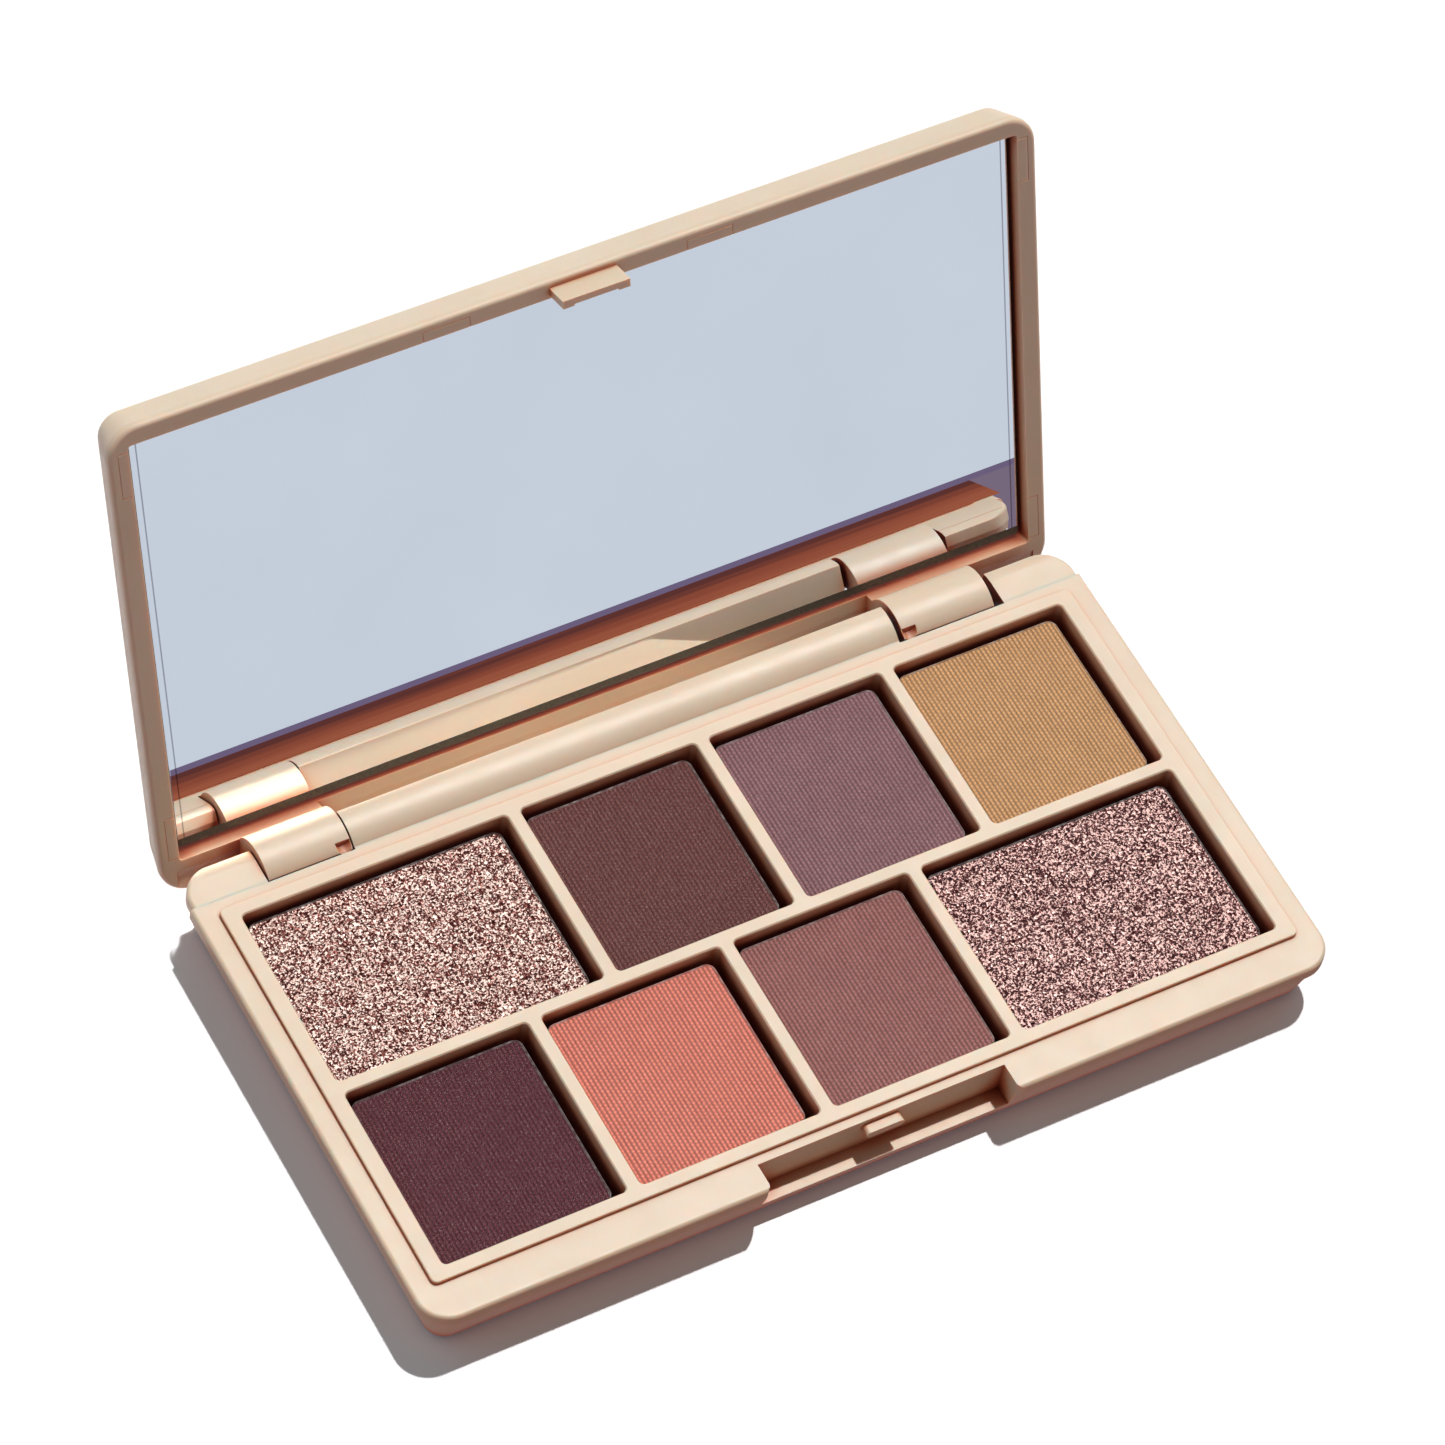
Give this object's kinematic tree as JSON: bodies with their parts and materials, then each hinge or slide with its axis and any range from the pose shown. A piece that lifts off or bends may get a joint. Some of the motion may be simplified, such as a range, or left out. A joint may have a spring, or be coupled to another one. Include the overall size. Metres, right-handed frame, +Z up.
{
  "type": "eyeshadow palette",
  "caption": "Slim hinged eyeshadow palette: peach plastic case, lid with a recessed mirror and latch hook, and a raised tray of pressed powders in metal pans.",
  "frame": {"origin": "centre of the flat underside of the base, where the palette rests on a table", "axes": "+X along the hinge and the long side, +Y from the front thumb recess to the hinge, +Z up"},
  "size_m": [0.1064, 0.0838, 0.0571],
  "materials": {
    "peach_plastic": "satin moulded ABS",
    "tin": "bare pressed sheet",
    "glue": "hot-melt pad",
    "pin_steel": "drawn wire",
    "mirror_glass": "silvered float glass with a ground edge",
    "foam_tape": "closed-cell foam",
    "powder_rose_shimmer": "pressed shimmer powder",
    "powder_dark_brown": "pressed matte powder with a woven print",
    "powder_mauve": "pressed matte powder with a woven print",
    "powder_ochre": "pressed matte powder with a woven print",
    "powder_plum": "pressed matte powder with a woven print",
    "powder_coral": "pressed matte powder with a woven print",
    "powder_dusty_rose": "pressed matte powder with a woven print",
    "powder_rose_brown_shimmer": "pressed shimmer powder"
  },
  "bodies": {
    "base": {"base_shell": "peach_plastic", "pan_tray": "peach_plastic", "tin_1": "tin", "tin_2": "tin", "tin_3": "tin", "tin_4": "tin", "tin_5": "tin", "tin_6": "tin", "tin_7": "tin", "tin_8": "tin", "powder_1": "powder_rose_shimmer", "powder_2": "powder_dark_brown", "powder_3": "powder_mauve", "powder_4": "powder_ochre", "powder_5": "powder_plum", "powder_6": "powder_coral", "powder_7": "powder_dusty_rose", "powder_8": "powder_rose_brown_shimmer", "pan_glue": "glue", "hinge_pin_left": "pin_steel", "hinge_pin_right": "pin_steel"},
    "lid": {"lid_shell": "peach_plastic", "mirror": "mirror_glass", "mirror_tape": "foam_tape"}
  },
  "joints": [
    {"name": "lid_hinge", "type": "hinge", "parent": "base", "child": "lid", "pos_m": [0, 0.02785, 0.00413], "axis": [1, 0, 0], "range_deg": [0, 109.6]}
  ]
}
